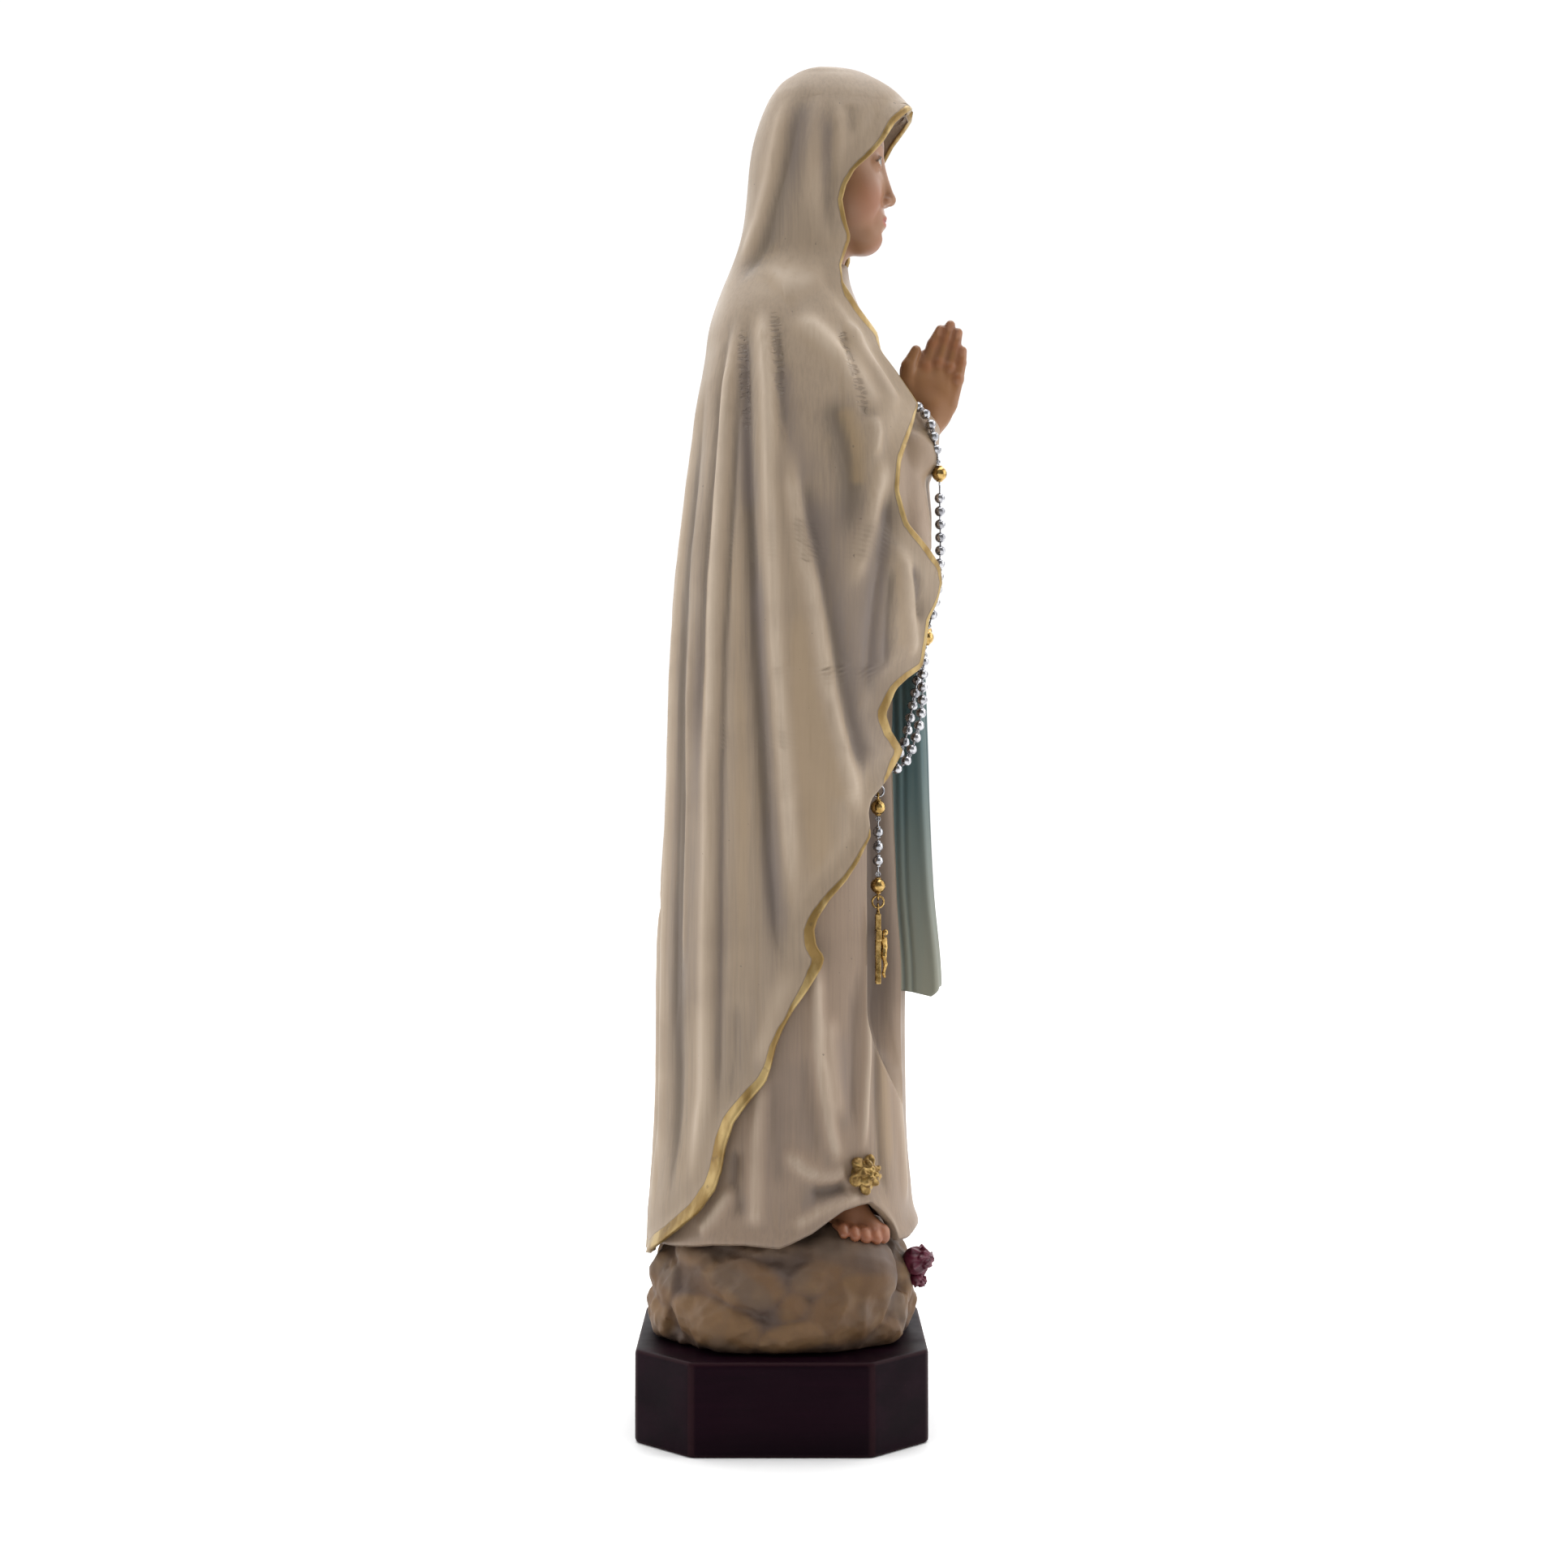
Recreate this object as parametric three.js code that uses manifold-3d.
// A carved and painted madonna statue on an eight-sided plinth, with a metal rosary over her right arm.
// Millimetres, +Z up. The origin is the middle of the plinth's underside. She faces -Y, so her right is -X.
// Positions are given as side (+X), forward (-Y) and up (+Z).
import * as THREE from "three";
import { mergeVertices } from "three/addons/utils/BufferGeometryUtils.js";
import Module from "manifold-3d";

const wasm = await Module();
wasm.setup();

// ---- Driving dimensions ----
const PLINTH = { width: 68, depth: 62.8, height: 20, chamfer: 12.3 };
const ROCK = { top: 40, across: 30.6, along: 30.4 };
const MANTLE_BOTTOM = 39;
const MANTLE_WALL = 2;
const FIT_GAP = 0.4; // between carved pieces that lie against each other
const HEAD = { crown: 296, chin: 258.5, centre: 9, halfWidth: 12.4 };
const WRIST = { forward: 32.5, up: 219, lean: 16, thickness: 4.4 }; // lean is degrees forward of upright
const ARM = { hand: [2.6, 31.4, 216], elbow: [13, 25, 206], radius: 2.9 }; // the part inside the sleeve
const SCREW = { head: 4, shank: 1.9, spacing: 30, low: 3.2, shoulder: 5.6, tip: 32, slot: 1 };
const DOWEL = { radius: 2.5, low: 28.5, high: 48.5, spacing: 24 };
const FOOT = { heel: [8.6, 7.4, 50], toe: [21.8, 19.4, 44] };
const FOOT_MOUND = { place: [18.5, 15, 37.5], radii: [9.5, 11, 6.8] }; // where the rock rises under a foot
const FOOT_ARCH = { place: [20.5, 17.5, 43], radii: [9, 9, 8.2] }; // the gown's hem lifted over a foot
const FOOT_ROSE = { place: [21.4, 17.4, 57.5], radius: 3.9 };
const ROCK_ROSE = { place: [-9, 30.4, 34.6], radius: 3.4, height: 5 };
const SASH = { bandLow: 176.5, bandHigh: 183.5, thickness: 1.1 };
const KNOT = { place: [0, 27.4, 180], radii: [4.6, 4, 4.4] };
const NECK = { low: [0, 8.4, 249], high: [0, 10, 266], radius: 6.2 };
const CHAIN = { ave: 1.15, pater: 1.65, wire: 0.34, pitch: 2.95, gap: 5.5, lead: 4 };
const DROP = { side: -16.2, forward: 20.8, pitch: 3.1, length: 16.9 }; // the rosary's short end
const LINK = { radius: 1.25, eye: 0.8, wire: 0.25, play: 0.35 }; // jump rings and eyes

const RING_SIDES = 28;
const BACK_POWER = 2.2; // how square the back half of the body's section is

// Stations of the mantle: height, back, front, half width, and how square the front half is.
const ENVELOPE = [
  [36, -30.2, 30.5, 30.0, 2.1],
  [46, -29.8, 31.6, 29.4, 2.1],
  [65, -27.9, 30.3, 28.2, 2.1],
  [100, -27.3, 30.0, 28.0, 2.1],
  [135, -25.6, 29.3, 28.6, 2.1],
  [152, -25.0, 29.8, 29.4, 2.2],
  [167, -24.4, 33.2, 30.4, 2.4],
  [185, -23.1, 37.2, 31.5, 2.6],
  [203, -21.0, 34.0, 31.6, 2.5],
  [217, -19.5, 32.4, 30.4, 2.3],
  [225, -18.8, 30.4, 28.8, 2.2],
  [235, -17.2, 24.4, 26.2, 2.1],
  [243, -15.8, 21.2, 23.0, 2.0],
  [250, -13.3, 18.2, 18.4, 2.0],
  [257, -10.6, 17.6, 14.4, 2.0],
  [264, -8.9, 20.0, 14.6, 2.0],
  [271, -7.7, 25.0, 15.8, 2.0],
  [279, -7.1, 28.0, 16.2, 2.0],
  [285, -5.9, 29.2, 15.0, 2.0],
  [290, -4.2, 29.4, 12.8, 2.0],
  [294, -1.6, 25.8, 9.8, 2.0],
  [297.5, 1.9, 20.6, 6.2, 2.0],
  [300, 8.4, 14.4, 1.6, 2.0],
];
// Stations of the gown, in the same columns.
const GOWN = [
  [40.6, -27.0, 27.6, 26.8, 2.0],
  [47, -26.6, 28.9, 26.4, 2.0],
  [55, -26.0, 28.3, 25.9, 2.0],
  [65, -25.2, 27.8, 25.5, 2.0],
  [100, -24.6, 27.4, 25.3, 2.0],
  [135, -23.0, 25.6, 25.8, 2.0],
  [152, -21.6, 25.0, 26.0, 2.0],
  [175, -19.6, 24.6, 26.0, 2.0],
  [203, -17.8, 22.6, 26.5, 2.0],
  [225, -16.0, 21.6, 25.6, 2.0],
  [240, -13.2, 18.6, 20.4, 2.0],
  [247, -11.0, 16.0, 15.6, 2.0],
  [252, -8.0, 15.4, 11.6, 2.0],
  [255, -5.6, 15.4, 9.0, 2.0],
];
// The mantle's free edge on either side: forward and height, from behind the heel to the brow.
const HEM = [
  [-29.6, 38.0],
  [-25.0, 43.0],
  [-18.1, 49.6],
  [-14.0, 55.8],
  [-12.3, 64.0],
  [-9.5, 71.1],
  [-3.8, 77.8],
  [-1.0, 87.0],
  [7.2, 99.8],
  [6.4, 110.1],
  [13.3, 119.4],
  [18.4, 131.0],
  [22.1, 141.9],
  [25.6, 148.4],
  [22.6, 155.9],
  [27.3, 164.0],
  [30.9, 170.2],
  [34.7, 184.0],
  [31.2, 191.7],
  [25.2, 203.1],
  [28.2, 217.8],
  [28.4, 224.0],
  [22.0, 236.0],
  [18.6, 242.5],
  [13.4, 248.0],
  [12.6, 255.0],
  [13.6, 264.0],
  [14.0, 271.0],
  [21.7, 280.4],
  [26.0, 287.0],
  [28.6, 290.6],
];
// The rosary's loop as it hangs: up the outside of her right arm, over the cuff, and down between her arms.
const LOOP_ROUTE = [
  [-17.6, 21.4, 143.3],
  [-16.8, 23.7, 143.6],
  [-15.6, 26.6, 145.4],
  [-14.5, 28.4, 149],
  [-13.3, 29.7, 153],
  [-12.5, 30.5, 158],
  [-11.8, 30.7, 164],
  [-11.0, 31.4, 172],
  [-9.8, 33.6, 181],
  [-9.6, 34.6, 190],
  [-10.8, 34.5, 201],
  [-11.6, 34.2, 210.5],
  [-12.2, 33.3, 215],
  [-12, 32.6, 218.6],
  [-11, 31.5, 221.2],
  [-9.4, 30.0, 223.2],
  [-7.4, 28.2, 223.8],
  [-5.2, 26.6, 222.9],
  [-3.5, 25.7, 220],
  [-2.9, 25.6, 215],
  [-3.1, 25.9, 205],
  [-4.4, 27.8, 192],
  [-6.4, 30.3, 181],
  [-7.3, 31.4, 173.6],
  [-8.0, 29.8, 164],
  [-9.4, 28.2, 156],
  [-11.3, 26.4, 149],
  [-13.4, 23.6, 144.8],
  [-14.8, 21.4, 143.3],
];

// ---- Small helpers ----
const at = (side, forward, up) => new THREE.Vector3(side, -forward, up);
const mirrored = ([side, forward, up], hand) => at(hand * side, forward, up);
const lerp = THREE.MathUtils.lerp;
const radians = THREE.MathUtils.degToRad;
const HANDS = { right: -1, left: 1 };

// The row of a table where its column `key` has a value, on smooth lines between the rows.
function rowAt(table, key, value) {
  const last = table.length - 1;
  const above = table.findIndex((row) => row[key] > value);
  const i = above === -1 ? last - 1 : Math.max(above - 1, 0);
  const [a, b] = [table[i], table[i + 1]];
  const before = table[Math.max(i - 1, 0)];
  const after = table[Math.min(i + 2, last)];
  const span = b[key] - a[key];
  const t = THREE.MathUtils.clamp((value - a[key]) / span, 0, 1);
  const [t2, t3] = [t * t, t * t * t];
  return a.map((_, c) => {
    const slopeIn = ((b[c] - before[c]) / (b[key] - before[key])) * span;
    const slopeOut = ((after[c] - a[c]) / (after[key] - a[key])) * span;
    const ends = (2 * t3 - 3 * t2 + 1) * a[c] + (3 * t2 - 2 * t3) * b[c];
    return ends + (t3 - 2 * t2 + t) * slopeIn + (t3 - t2) * slopeOut;
  });
}

// The middle of the body's section moves forward in the head.
const middle = (up) => lerp(3, 9, THREE.MathUtils.smoothstep(up, 236, 262));

// A point of a section. Angle 0 is straight ahead, and positive angles go to her left.
function onSection([up, back, front, half, squareness], angle, offset) {
  const [c, s] = [Math.cos(angle), Math.sin(angle)];
  const mid = middle(up);
  const power = 2 / (c >= 0 ? squareness : BACK_POWER);
  const reach = (c >= 0 ? front - mid : mid - back) + offset;
  const forward = mid + Math.sign(c) * reach * Math.abs(c) ** power;
  const side = Math.sign(s) * (half + offset) * Math.abs(s) ** power;
  return at(side, forward, up);
}

// A closed surface through rings of points, each end closed by a fan.
function loft(rings) {
  const n = rings[0].length;
  const positions = rings.flat();
  const faces = [];
  for (let r = 0; r + 1 < rings.length; r += 1) {
    for (let i = 0; i < n; i += 1) {
      const [a, b] = [r * n + i, r * n + ((i + 1) % n)];
      faces.push(a, b, b + n, a, b + n, a + n);
    }
  }
  for (const [base, top] of [
    [0, false],
    [(rings.length - 1) * n, true],
  ]) {
    const hub = positions.length;
    const ring = positions.slice(base, base + n);
    const centre = ring.reduce((sum, p) => sum.add(p), new THREE.Vector3());
    positions.push(centre.divideScalar(n));
    for (let i = 0; i < n; i += 1) {
      const [a, b] = [base + i, base + ((i + 1) % n)];
      faces.push(...(top ? [a, b, hub] : [b, a, hub]));
    }
  }
  return new THREE.BufferGeometry().setFromPoints(positions).setIndex(faces);
}

// A three.js geometry as a solid, turned right side out.
function solid(geometry, matrix = new THREE.Matrix4()) {
  const bare = geometry.clone().applyMatrix4(matrix);
  bare.deleteAttribute("normal");
  bare.deleteAttribute("uv");
  const merged = mergeVertices(bare, 1e-4);
  const vertProperties = merged.attributes.position.array;
  const triVerts = new Uint32Array(merged.index.array);
  const build = () => {
    const mesh = new wasm.Mesh({ numProp: 3, vertProperties, triVerts });
    return new wasm.Manifold(mesh);
  };
  const made = build();
  if (made.volume() > 0) return made;
  triVerts.reverse();
  return build();
}

const joined = (parts) => parts.reduce((sum, part) => sum.add(part));

// The largest body of a solid that a cut may have left in pieces.
function largest(part) {
  const bodies = part.decompose();
  return bodies.reduce((a, b) => (a.volume() > b.volume() ? a : b));
}

function bodySolid(table, from, to, rows, offset, sides = RING_SIDES) {
  const rings = [];
  for (let r = 0; r <= rows; r += 1) {
    const row = rowAt(table, 0, lerp(from, to, r / rows));
    const angles = Array.from({ length: sides }, (_, i) => i / sides);
    rings.push(angles.map((a) => onSection(row, 2 * Math.PI * a, offset)));
  }
  return solid(loft(rings));
}

function ellipsoid(centre, radii, sides = 12) {
  const ball = new THREE.SphereGeometry(1, sides, Math.round(sides * 0.6));
  const matrix = new THREE.Matrix4().makeScale(...radii);
  return solid(ball, matrix.setPosition(centre));
}

function block(low, high) {
  const size = high.clone().sub(low).toArray().map(Math.abs);
  const matrix = new THREE.Matrix4();
  matrix.setPosition(low.clone().add(high).multiplyScalar(0.5));
  return solid(new THREE.BoxGeometry(...size), matrix);
}

// A straight round bar between two points.
function bar(from, to, radius, sides = 12, endRadius = radius) {
  const along = to.clone().sub(from);
  const up = new THREE.Vector3(0, 1, 0);
  const turn = new THREE.Quaternion().setFromUnitVectors(up, along.clone().normalize());
  const centre = from.clone().add(to).multiplyScalar(0.5);
  const matrix = new THREE.Matrix4().compose(centre, turn, new THREE.Vector3(1, 1, 1));
  const shape = new THREE.CylinderGeometry(endRadius, radius, along.length(), sides);
  return solid(shape, matrix);
}

// An outline of forward and height, carried across from one side to the other.
function sideExtrusion(outline, fromSide, toSide) {
  const shape = new THREE.Shape(outline.map((p) => new THREE.Vector2(...p)));
  const options = { depth: toSide - fromSide, bevelEnabled: false };
  const matrix = new THREE.Matrix4().makeBasis(
    new THREE.Vector3(0, -1, 0),
    new THREE.Vector3(0, 0, 1),
    new THREE.Vector3(1, 0, 0),
  );
  matrix.setPosition(fromSide, 0, 0);
  return solid(new THREE.ExtrudeGeometry(shape, options), matrix);
}

// A flat ring of wire. `open` is the direction of its hole: "x" or "y".
function wireRing(centre, radius, wire, open) {
  const torus = new THREE.TorusGeometry(radius, wire, 5, 12);
  const turn = new THREE.Matrix4();
  if (open === "x") turn.makeRotationY(Math.PI / 2);
  else turn.makeRotationX(Math.PI / 2);
  return solid(torus, turn.setPosition(centre));
}

// ---- Materials ----
const paint = (color, roughness, metalness = 0) =>
  new THREE.MeshStandardMaterial({ color, roughness, metalness });
const ivory = paint(0xcfc2ad, 0.6);
const blue = paint(0x5d7f80, 0.6);
const flesh = paint(0xb98563, 0.5);
const stone = paint(0x8a7457, 0.7);
const plinthBrown = paint(0x2a1518, 0.35);
const gilt = paint(0xb08a3e, 0.35, 0.9);
const silver = paint(0xb9b9bd, 0.25, 1);
const crimson = paint(0x5e1a35, 0.5);
const beech = paint(0xc8a878, 0.7);
const steel = paint(0x8f9296, 0.4, 1);

const statue = new THREE.Group();

function add(name, part, material) {
  const { vertProperties, triVerts } = part.getMesh();
  const geometry = new THREE.BufferGeometry();
  geometry.setAttribute("position", new THREE.BufferAttribute(vertProperties, 3));
  geometry.setIndex(new THREE.BufferAttribute(triVerts, 1));
  geometry.computeVertexNormals();
  const mesh = new THREE.Mesh(geometry, material);
  mesh.name = name;
  statue.add(mesh);
}

// ---- Bodies that shape or cut the carved pieces ----
const crownHeight = ENVELOPE[ENVELOPE.length - 1][0];

// The room inside the mantle, lowered under the crown so that the wall keeps its thickness there.
function mantleRoom(inset) {
  const lowered = ENVELOPE.map(([up, ...rest]) => {
    const drop = inset * 1.2 * THREE.MathUtils.smoothstep(up, 280, crownHeight);
    return [up - drop, ...rest];
  });
  const top = lowered[lowered.length - 2][0];
  return bodySolid(lowered, MANTLE_BOTTOM - 3, top, 22, -inset, 24);
}

// Everything in front of the mantle's edge, up to the brow. A clearance makes it narrower.
function hemWedge(clearance) {
  const rows = 36;
  const far = 70;
  const rings = [];
  for (let r = 0; r <= rows; r += 1) {
    const up = lerp(HEM[0][1], HEM[HEM.length - 1][1], r / rows);
    const [forward] = rowAt(HEM, 1, up);
    const row = rowAt(ENVELOPE, 0, up);
    const [, back, front, , squareness] = row;
    const mid = middle(up);
    const ahead = forward >= mid;
    const reach = ahead ? front - mid : mid - back;
    const share = Math.min(Math.abs(forward - mid) / reach, 1);
    const cosine = share ** ((ahead ? squareness : BACK_POWER) / 2);
    const angle = Math.max(Math.acos(ahead ? cosine : -cosine) - clearance / row[3], 0.02);
    const inside = onSection(row, angle, -6);
    const outward = onSection(row, angle, 0).sub(inside).normalize();
    const outside = inside.clone().addScaledVector(outward, far);
    const mirror = (p) => new THREE.Vector3(-p.x, p.y, p.z);
    const corners = [at(far, far, up), at(-far, far, up)];
    rings.push([inside, outside, ...corners, mirror(outside), mirror(inside)]);
  }
  return solid(loft(rings));
}

// The deep fold of the gown beside the sash, where the rosary's short end hangs free.
function foldCutter() {
  const section = [
    [-32, 18.5],
    [-10.2, 18.5],
    [-8.9, 26],
    [-8.9, 45],
    [-32, 45],
  ];
  const rings = [
    [84, 9],
    [91, 0],
    [146, 0],
    [154, 9],
  ].map(([up, shift]) => section.map(([side, forward]) => at(side, forward + shift, up)));
  return solid(loft(rings));
}

const mantleOuter = bodySolid(ENVELOPE, MANTLE_BOTTOM, crownHeight, 26, 0);
const underMantle = mantleRoom(MANTLE_WALL + FIT_GAP).add(hemWedge(FIT_GAP));
const fold = foldCutter();

function gownBody(grow) {
  const low = GOWN[0][0] - grow;
  const high = GOWN[GOWN.length - 1][0] + grow;
  return bodySolid(GOWN, low, high, 18, grow, 26).subtract(fold);
}
const gownGrown = gownBody(FIT_GAP);

// ---- Plinth and its fasteners ----
function makePlinth() {
  const [w, d, c] = [PLINTH.width / 2, PLINTH.depth / 2, PLINTH.chamfer];
  const outline = new THREE.Shape();
  outline.moveTo(-w + c, -d);
  outline.lineTo(w - c, -d);
  outline.lineTo(w, -d + c);
  outline.lineTo(w, d - c);
  outline.lineTo(w - c, d);
  outline.lineTo(-w + c, d);
  outline.lineTo(-w, d - c);
  outline.lineTo(-w, -d + c);
  outline.closePath();
  const options = { depth: PLINTH.height, bevelEnabled: false };
  let body = solid(new THREE.ExtrudeGeometry(outline, options));
  for (const hand of Object.values(HANDS)) {
    const side = (hand * SCREW.spacing) / 2;
    const recessTop = at(side, 0, SCREW.shoulder + FIT_GAP);
    body = body.subtract(bar(at(side, 0, -1), at(side, 0, SCREW.tip), SCREW.shank + FIT_GAP));
    body = body.subtract(bar(at(side, 0, -1), recessTop, SCREW.head + FIT_GAP));
  }
  add("plinth", body, plinthBrown);
}

function makeScrews() {
  for (const [hand, sign] of Object.entries(HANDS)) {
    const side = (sign * SCREW.spacing) / 2;
    const head = bar(at(side, 0, SCREW.low), at(side, 0, SCREW.shoulder), SCREW.head);
    const shank = bar(at(side, 0, SCREW.low + SCREW.slot), at(side, 0, SCREW.tip), SCREW.shank, 8);
    const slotLow = at(side - SCREW.head - 1, SCREW.slot / 2, SCREW.low - 1);
    const slot = block(slotLow, at(side + SCREW.head + 1, -SCREW.slot / 2, SCREW.low + SCREW.slot));
    add(`${hand}_plinth_screw`, head.add(shank).subtract(slot), steel);
  }
}

function makeDowels() {
  const places = { front: 1, rear: -1 };
  for (const [place, sign] of Object.entries(places)) {
    const forward = (sign * DOWEL.spacing) / 2;
    const dowel = bar(at(0, forward, DOWEL.low), at(0, forward, DOWEL.high), DOWEL.radius, 10);
    add(`${place}_figure_dowel`, dowel, beech);
  }
}

// Holes for the two dowels between two heights.
function dowelHoles(from, to) {
  const holes = [-1, 1].map((sign) => {
    const forward = (sign * DOWEL.spacing) / 2;
    return bar(at(0, forward, from), at(0, forward, to), DOWEL.radius + FIT_GAP, 10);
  });
  return joined(holes);
}

// ---- Feet ----
// Rings from heel to toes: how far along, half width and thickness.
function footSolid(hand, grow) {
  const [heel, toe] = [mirrored(FOOT.heel, hand), mirrored(FOOT.toe, hand)];
  const length = toe.distanceTo(heel);
  const across = toe.clone().sub(heel).setZ(0).normalize();
  across.set(-across.y, across.x, 0);
  const sides = 12;
  const rings = [
    [0, 3.2, 8],
    [0.4, 3.8, 7.6],
    [0.7, 4.6, 5.6],
    [0.9, 4.8, 4.2],
    [1, 4.4, 2.8],
  ].map(([along, half, thickness], i, all) => {
    const reach = along + (i === 0 ? -grow : i === all.length - 1 ? grow : 0) / length;
    const centre = heel.clone().lerp(toe, reach);
    return Array.from({ length: sides }, (_, k) => {
      const angle = (2 * Math.PI * k) / sides;
      const point = centre.clone().addScaledVector(across, (half + grow) * Math.cos(angle));
      point.z += (thickness / 2 + grow) * Math.sin(angle);
      return point;
    });
  });
  return solid(loft(rings));
}
// Where the rock rises under a foot.
function footMound(sign, grow) {
  return ellipsoid(mirrored(FOOT_MOUND.place, sign), FOOT_MOUND.radii.map((r) => r + grow), 16);
}
const footClearance = joined(Object.values(HANDS).map((hand) => footSolid(hand, FIT_GAP)));

// ---- Rock ----
const rockRose = ellipsoid(
  at(...ROCK_ROSE.place),
  [ROCK_ROSE.radius, ROCK_ROSE.radius, ROCK_ROSE.height],
  10,
);

// Rings of the rock: height and its share of the full size, with lumps around it.
function makeRock() {
  const power = 0.82;
  const squared = (v) => Math.sign(v) * Math.abs(v) ** power;
  const sides = 28;
  const rings = [
    [PLINTH.height + 0.3, 0.92],
    [24, 0.98],
    [29, 1],
    [34, 0.97],
    [38, 0.9],
    [ROCK.top, 0.74],
  ].map(([up, share], level) =>
    Array.from({ length: sides }, (_, i) => {
      const angle = (2 * Math.PI * i) / sides;
      const lump = share * (0.98 + 0.02 * Math.cos(5 * angle + level));
      const side = ROCK.across * lump * squared(Math.sin(angle));
      return at(side, ROCK.along * lump * squared(Math.cos(angle)), up);
    }),
  );
  const mounds = Object.values(HANDS).map((hand) => footMound(hand, 0));
  let rock = joined([solid(loft(rings)), ...mounds]);
  const mantleFoot = bodySolid(ENVELOPE, MANTLE_BOTTOM - FIT_GAP, 60, 3, 1);
  const holes = dowelHoles(DOWEL.low - FIT_GAP, 60);
  rock = rock.subtract(mantleFoot).subtract(footClearance).subtract(holes);
  for (const hand of Object.values(HANDS)) {
    const side = (hand * SCREW.spacing) / 2;
    const tip = at(side, 0, SCREW.tip + 2 * FIT_GAP);
    rock = rock.subtract(bar(at(side, 0, 10), tip, SCREW.shank + FIT_GAP, 8));
  }
  const seat = ROCK_ROSE.radius + FIT_GAP;
  const size = [seat, seat, ROCK_ROSE.height + FIT_GAP];
  rock = rock.subtract(ellipsoid(at(...ROCK_ROSE.place), size, 10));
  add("rock_base", largest(rock), stone);
  add("rock_rose", rockRose, crimson);
}

function makeFeet() {
  for (const [hand, sign] of Object.entries(HANDS)) {
    add(`${hand}_foot`, footSolid(sign, 0), flesh);
  }
}

function footRose(sign, grow) {
  const radius = FOOT_ROSE.radius + grow;
  return ellipsoid(mirrored(FOOT_ROSE.place, sign), [radius, radius, radius * 1.1], 10);
}

function makeFootRoses() {
  for (const [hand, sign] of Object.entries(HANDS)) {
    add(`${hand}_foot_rose`, footRose(sign, 0), gilt);
  }
}

// ---- Head and hands ----
function makeHead() {
  const height = HEAD.crown - HEAD.chin;
  const skullCentre = at(0, HEAD.centre, HEAD.chin + 0.62 * height);
  const skull = ellipsoid(skullCentre, [HEAD.halfWidth, 12.2, 0.38 * height], 14);
  const jawCentre = at(0, HEAD.centre + 5.4, HEAD.chin + 0.36 * height);
  const jaw = ellipsoid(jawCentre, [9.4, 9.6, 0.36 * height], 12);
  const bridge = at(0, 23, HEAD.chin + 0.48 * height);
  const nose = bar(bridge, at(0, 24.4, HEAD.chin + 0.31 * height), 0.9, 8, 1.6);
  const neck = bar(at(...NECK.low), at(...NECK.high), NECK.radius, 14);
  add("head", largest(joined([skull, jaw, nose, neck]).intersect(underMantle)), flesh);
}

// A praying hand from the side: forward of the wrist's line and up along it.
const HAND = [
  [-3.4, -5],
  [3.2, -5],
  [4.2, 2],
  [6.4, 9],
  [6.8, 15],
  [5.4, 18],
  [4.6, 22.6],
  [2.6, 24],
  [0, 23.4],
  [-3.4, 19],
  [-5.8, 19.4],
  [-6.8, 15],
  [-5.0, 9],
  [-3.8, 2],
];

function handSolid(sign, grow) {
  const lean = radians(WRIST.lean);
  const outline = HAND.map(([along, up]) => {
    const out = new THREE.Vector2(along, up - 9);
    out.setLength(out.length() + grow * 2);
    const [a, u] = [out.x, out.y + 9];
    const forward = WRIST.forward + a * Math.cos(lean) + u * Math.sin(lean);
    return [forward, WRIST.up - a * Math.sin(lean) + u * Math.cos(lean)];
  });
  const near = 0.2 - grow;
  const far = WRIST.thickness + grow;
  const palm = sideExtrusion(outline, ...(sign < 0 ? [-far, -near] : [near, far]));
  const wrist = mirrored(ARM.hand, sign);
  const elbow = mirrored(ARM.elbow, sign);
  elbow.addScaledVector(elbow.clone().sub(wrist).normalize(), grow);
  const half = block(at(0.2 * sign, 0, 190), at(40 * sign, 60, 250));
  const arm = bar(wrist, elbow, ARM.radius + grow, 12);
  return grow > 0 ? palm.add(arm) : palm.add(arm.intersect(half));
}

function makeHands() {
  for (const [hand, sign] of Object.entries(HANDS)) {
    add(`${hand}_hand`, handSolid(sign, 0), flesh);
  }
}

// ---- Gown, mantle, sleeves and sash ----
function makeGown() {
  let gown = gownBody(0).intersect(underMantle);
  const neckFloor = at(...NECK.low).setZ(NECK.low[2] - FIT_GAP);
  gown = gown.subtract(bar(neckFloor, at(...NECK.high), NECK.radius + FIT_GAP, 14));
  gown = gown.subtract(footClearance).subtract(dowelHoles(30, DOWEL.high + FIT_GAP));
  for (const sign of Object.values(HANDS)) {
    const arch = ellipsoid(mirrored(FOOT_ARCH.place, sign), FOOT_ARCH.radii, 14);
    gown = gown.subtract(arch).subtract(footMound(sign, FIT_GAP)).subtract(footRose(sign, FIT_GAP));
    gown = gown.subtract(handSolid(sign, FIT_GAP));
  }
  add("gown", largest(gown), ivory);
}

function makeMantle() {
  const shell = mantleOuter.subtract(mantleRoom(MANTLE_WALL)).subtract(hemWedge(0));
  let mantle = largest(shell);
  for (const sign of Object.values(HANDS)) mantle = mantle.subtract(footRose(sign, FIT_GAP));
  add("mantle", largest(mantle), ivory);
}

// A wide sleeve from the side, hanging from the wrist.
const SLEEVE = [
  [14, 226],
  [24, 225],
  [28.6, 220.6],
  [31, 214],
  [32.6, 200],
  [31.4, 189],
  [26, 187],
  [14, 190],
];
const SLEEVE_INNER_SIDE = 6.6;

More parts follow.
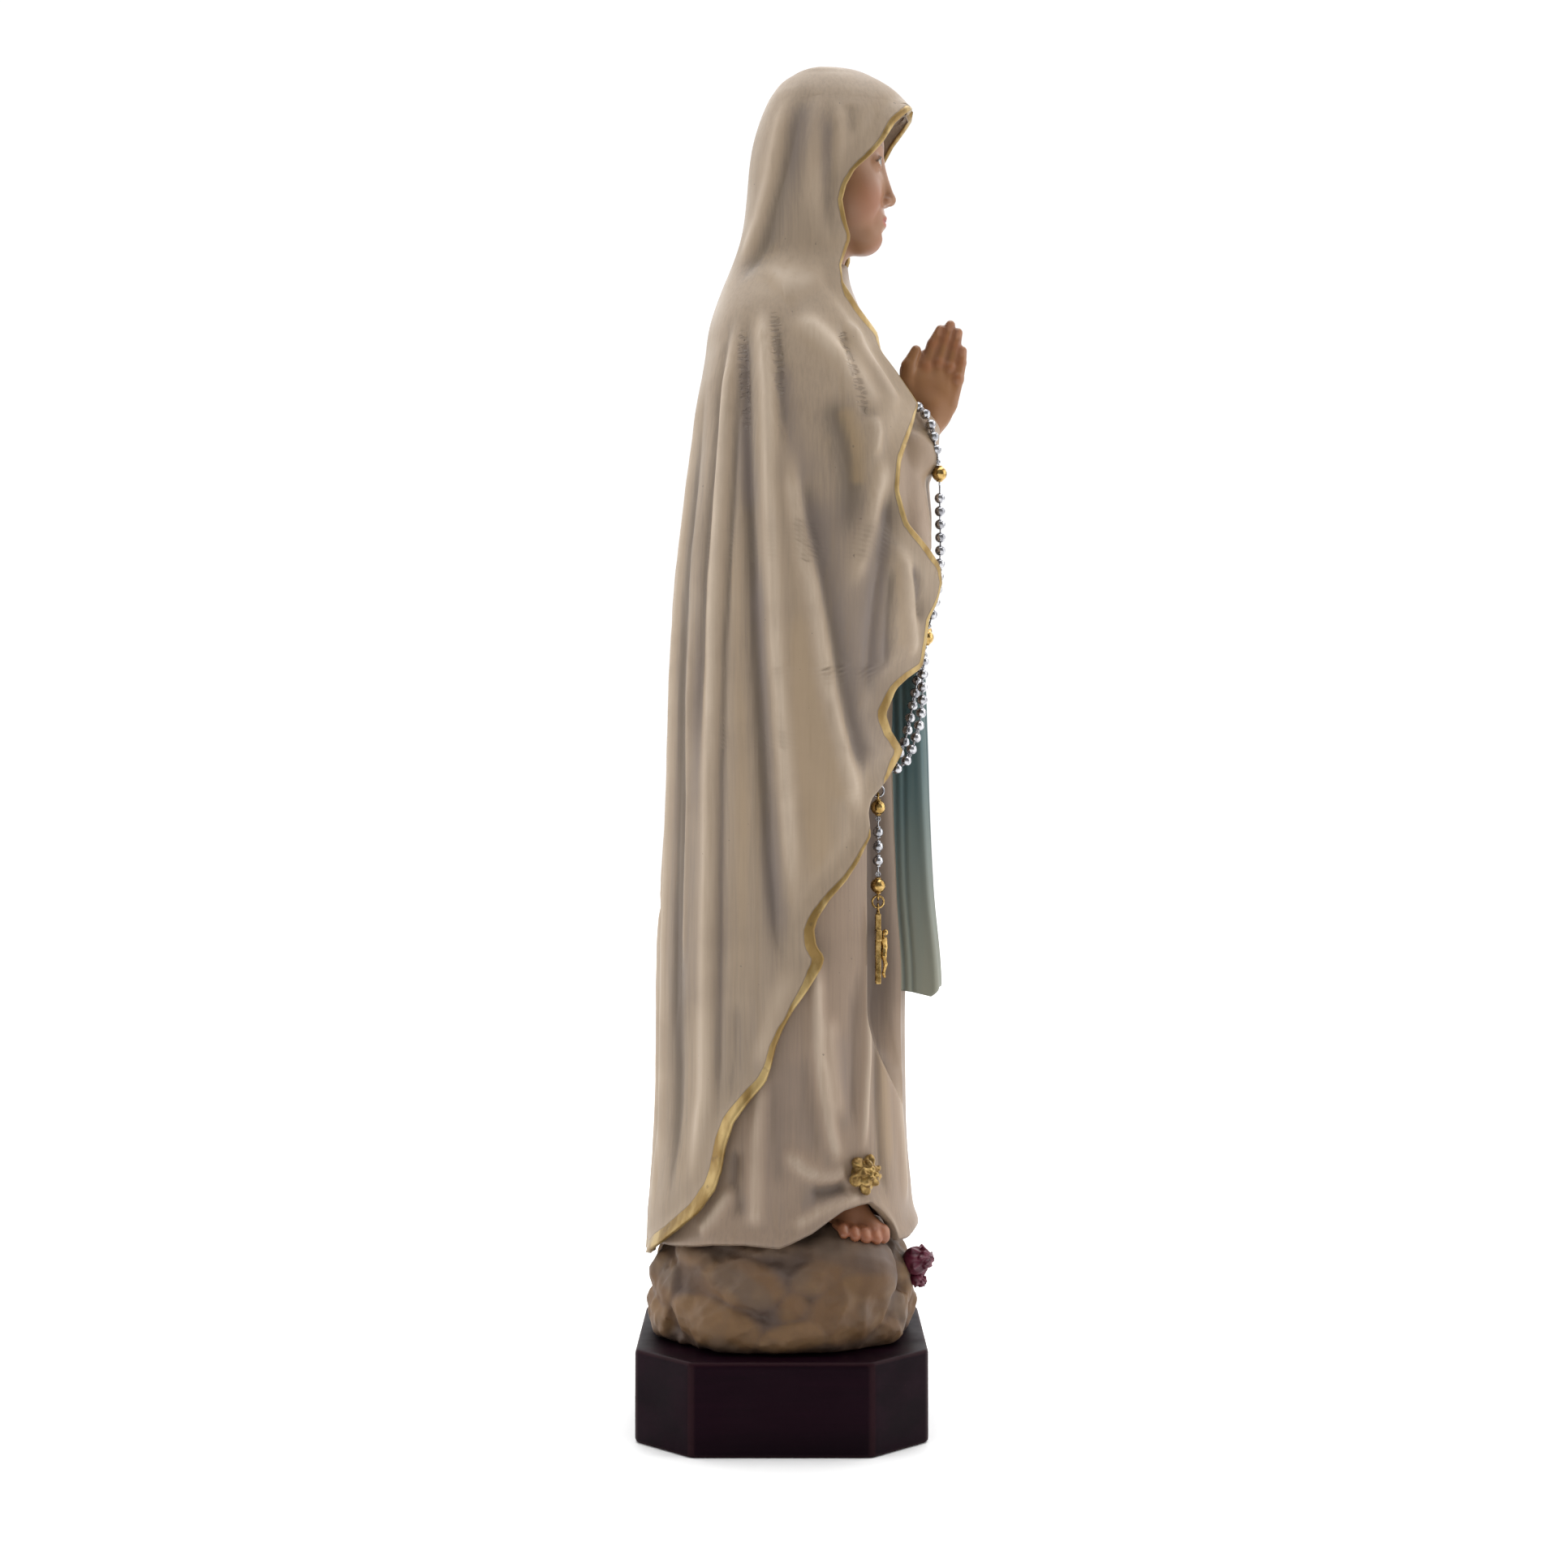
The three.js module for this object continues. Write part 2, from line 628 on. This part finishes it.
function makeSleeves() {
  const drape = bodySolid(ENVELOPE, 180, 230, 8, -0.8, 24);
  for (const [hand, sign] of Object.entries(HANDS)) {
    const span = [SLEEVE_INNER_SIDE * sign, 29 * sign].sort((a, b) => a - b);
    let sleeve = sideExtrusion(SLEEVE, ...span).intersect(underMantle).intersect(drape);
    sleeve = sleeve.subtract(gownGrown).subtract(handSolid(sign, FIT_GAP));
    add(`${hand}_sleeve`, largest(sleeve), ivory);
  }
}

// Stations of a sash tail: height, half width, and how far forward its outer face is.
const TAIL = [
  [175, 4.4, 30.2],
  [168, 5.2, 31.4],
  [152, 6.8, 32.3],
  [135, 8.2, 32.8],
  [117, 8.5, 33.7],
  [99, 8.5, 35.4],
  [93.6, 8.5, 35.7],
];

function tailSolid(sign) {
  const rings = TAIL.map(([up, half, front]) => {
    const section = [
      [0.2, 20],
      [0.2, front],
      [0.6 * half, front - 0.2],
      [half, front - 2.4],
      [half, 20],
    ];
    return section.map(([side, forward]) => at(sign * side, forward, up));
  });
  return solid(loft(rings));
}

function makeSash() {
  const { bandLow, bandHigh, thickness } = SASH;
  const slab = block(at(-40, 60, bandLow), at(40, -60, bandHigh));
  const around = gownBody(FIT_GAP + thickness).intersect(slab);
  add("sash_band", largest(around.subtract(gownGrown)), blue);
  const knotCore = ellipsoid(at(...KNOT.place), KNOT.radii, 12);
  const behindKnot = gownBody(2 * FIT_GAP + thickness);
  add("sash_knot", largest(knotCore.subtract(behindKnot)), blue);
  for (const [hand, sign] of Object.entries(HANDS)) {
    add(`${hand}_sash_tail`, largest(tailSolid(sign).subtract(gownGrown)), blue);
  }
}

// ---- Rosary ----
const loopCurve = new THREE.CatmullRomCurve3(LOOP_ROUTE.map((p) => at(...p)));
loopCurve.arcLengthDivisions = 600;
const loopLength = loopCurve.getLength();
const DECADES = 5;
const AVES = 10;
const decadeRun = (AVES - 1) * CHAIN.pitch;
const nominalLoop = DECADES * decadeRun + 2 * (DECADES - 1) * CHAIN.gap + 2 * CHAIN.lead;
const fitScale = loopLength / nominalLoop;
const loopPoint = (distance) => loopCurve.getPointAt(distance / loopLength);

// Where a decade's first bead lies along the loop.
const decadeStart = (i) => (CHAIN.lead + i * (decadeRun + 2 * CHAIN.gap)) * fitScale;

// A stretch of the loop's wire, as a tube between two distances.
function wireTube(from, to, step) {
  const count = Math.max(2, Math.round((to - from) / step));
  const points = Array.from({ length: count + 1 }, (_, i) => loopPoint(lerp(from, to, i / count)));
  const path = new THREE.CatmullRomCurve3(points);
  const section = new THREE.Shape();
  section.absarc(0, 0, CHAIN.wire, 0, 2 * Math.PI);
  const options = { steps: count, extrudePath: path, curveSegments: 2, bevelEnabled: false };
  return solid(new THREE.ExtrudeGeometry(section, options));
}

function makeLoop() {
  const names = ["first", "second", "third", "fourth", "fifth"];
  const clear = CHAIN.pater + 0.3;
  for (let i = 0; i < DECADES; i += 1) {
    const start = decadeStart(i);
    const end = start + decadeRun * fitScale;
    const gap = CHAIN.gap * fitScale;
    const from = i === 0 ? 0.9 : start - gap + clear;
    const to = i === DECADES - 1 ? loopLength - 0.9 : end + gap - clear;
    const beads = Array.from({ length: AVES }, (_, k) => {
      const centre = loopPoint(start + k * CHAIN.pitch * fitScale);
      return ellipsoid(centre, [CHAIN.ave, CHAIN.ave, CHAIN.ave], 6);
    });
    add(`${names[i]}_decade`, joined([wireTube(from, to, 2.8), ...beads]), silver);
    if (i < DECADES - 1) {
      const size = [CHAIN.pater, CHAIN.pater, CHAIN.pater];
      add(`${names[i]}_pater_bead`, ellipsoid(loopPoint(end + gap), size, 9), gilt);
    }
  }
}

const onDrop = (up, side = 0, forward = 0) => at(DROP.side + side, DROP.forward + forward, up);
const LINK_STEP = 2 * LINK.wire + LINK.play; // from one wire's middle to the next where two links hang
const CENTREPIECE = { up: 142.2, half: 2, thickness: 1.1 };
const dropEye = CENTREPIECE.up - CENTREPIECE.half - 0.5; // the wire that the short end hangs on
const dropRing = dropEye + LINK_STEP - LINK.radius;
const paterEye = dropRing - LINK.radius + LINK_STEP - LINK.eye;
const UPPER_PATER = paterEye - LINK.eye - CHAIN.pater + 0.1;
const LOWER_PATER = UPPER_PATER - DROP.length;
const lowerEye = LOWER_PATER - CHAIN.pater - 0.8 * LINK.eye;
const crossRing = lowerEye - LINK.eye + LINK_STEP - LINK.radius;
const crossEye = crossRing - LINK.radius + LINK_STEP - LINK.eye;
const CROSS = { top: crossEye - LINK.eye - 0.5, height: 15.2, half: 5.1, bar: 1.1, thickness: 1.3 };

function makeCentrepiece() {
  const disc = bar(
    onDrop(CENTREPIECE.up, 0, -CENTREPIECE.thickness / 2),
    onDrop(CENTREPIECE.up, 0, CENTREPIECE.thickness / 2),
    CENTREPIECE.half,
    16,
  );
  const eyeUp = dropEye + LINK.eye;
  const eye = wireRing(onDrop(eyeUp), LINK.eye, LINK.wire, "y");
  const hole = bar(onDrop(eyeUp, 0, -2), onDrop(eyeUp, 0, 2), LINK.eye - LINK.wire, 10);
  add("centrepiece", disc.add(eye).subtract(hole), silver);
}

// A bead on a straight wire that ends in an eye above and below.
function makeDrop() {
  const eyeAbove = wireRing(onDrop(paterEye), LINK.eye, LINK.wire, "y");
  const size = [CHAIN.pater, CHAIN.pater, CHAIN.pater];
  const upper = ellipsoid(onDrop(UPPER_PATER), size, 9).add(eyeAbove);
  add("upper_drop_pater", upper, gilt);
  const eyeBelow = wireRing(onDrop(lowerEye), LINK.eye, LINK.wire, "y");
  add("lower_drop_pater", ellipsoid(onDrop(LOWER_PATER), size, 9).add(eyeBelow), gilt);
  const middleUp = (UPPER_PATER + LOWER_PATER) / 2;
  const names = ["lower", "middle", "upper"];
  names.forEach((name, i) => {
    const up = middleUp + (i - 1) * DROP.pitch;
    const bead = ellipsoid(onDrop(up), [CHAIN.ave, CHAIN.ave, CHAIN.ave], 8);
    const reach = DROP.pitch / 2 - 0.15;
    const high = i === 2 ? UPPER_PATER - CHAIN.pater - 0.2 : up + reach;
    const low = i === 0 ? LOWER_PATER + CHAIN.pater + 0.2 : up - reach;
    const wire = bar(onDrop(low), onDrop(high), CHAIN.wire, 6);
    add(`${name}_drop_ave`, bead.add(wire), silver);
  });
}

function makeLinks() {
  add("drop_ring", wireRing(onDrop(dropRing), LINK.radius, LINK.wire, "x"), silver);
  add("crucifix_ring", wireRing(onDrop(crossRing), LINK.radius, LINK.wire, "x"), gilt);
}

function makeCrucifix() {
  const { top, height, half, thickness } = CROSS;
  const armUp = top - 0.3 * height;
  const t = thickness / 2;
  const upright = block(onDrop(top - height, -CROSS.bar, -t), onDrop(top, CROSS.bar, t));
  const arms = block(onDrop(armUp - CROSS.bar, -half, -t), onDrop(armUp + CROSS.bar, half, t));
  const eye = wireRing(onDrop(crossEye), LINK.eye, LINK.wire, "y");
  const neck = bar(onDrop(top - 0.4), onDrop(crossEye - LINK.eye), 0.4, 6);
  add("crucifix_cross", joined([upright, arms, eye, neck]), gilt);
  const face = t + 0.9;
  const torso = ellipsoid(onDrop(armUp - 2.4, 0, face), [0.85, 0.6, 2.8], 8);
  const head = ellipsoid(onDrop(armUp + 0.5, 0, face), [0.6, 0.6, 0.75], 8);
  const legs = bar(onDrop(armUp - 4, 0, face), onDrop(armUp - 8.4, 0, face), 0.6, 8, 0.45);
  const limbs = [-1, 1].map((s) => {
    const shoulder = onDrop(armUp - 0.9, 0.4 * s, face);
    return bar(shoulder, onDrop(armUp + 0.5, 4.3 * s, face), 0.35, 6);
  });
  add("crucifix_corpus", joined([torso, head, legs, ...limbs]), gilt);
}

makePlinth();
makeScrews();
makeDowels();
makeRock();
makeFeet();
makeFootRoses();
makeHead();
makeHands();
makeGown();
makeMantle();
makeSleeves();
makeSash();
makeLoop();
makeCentrepiece();
makeLinks();
makeDrop();
makeCrucifix();

export default statue;
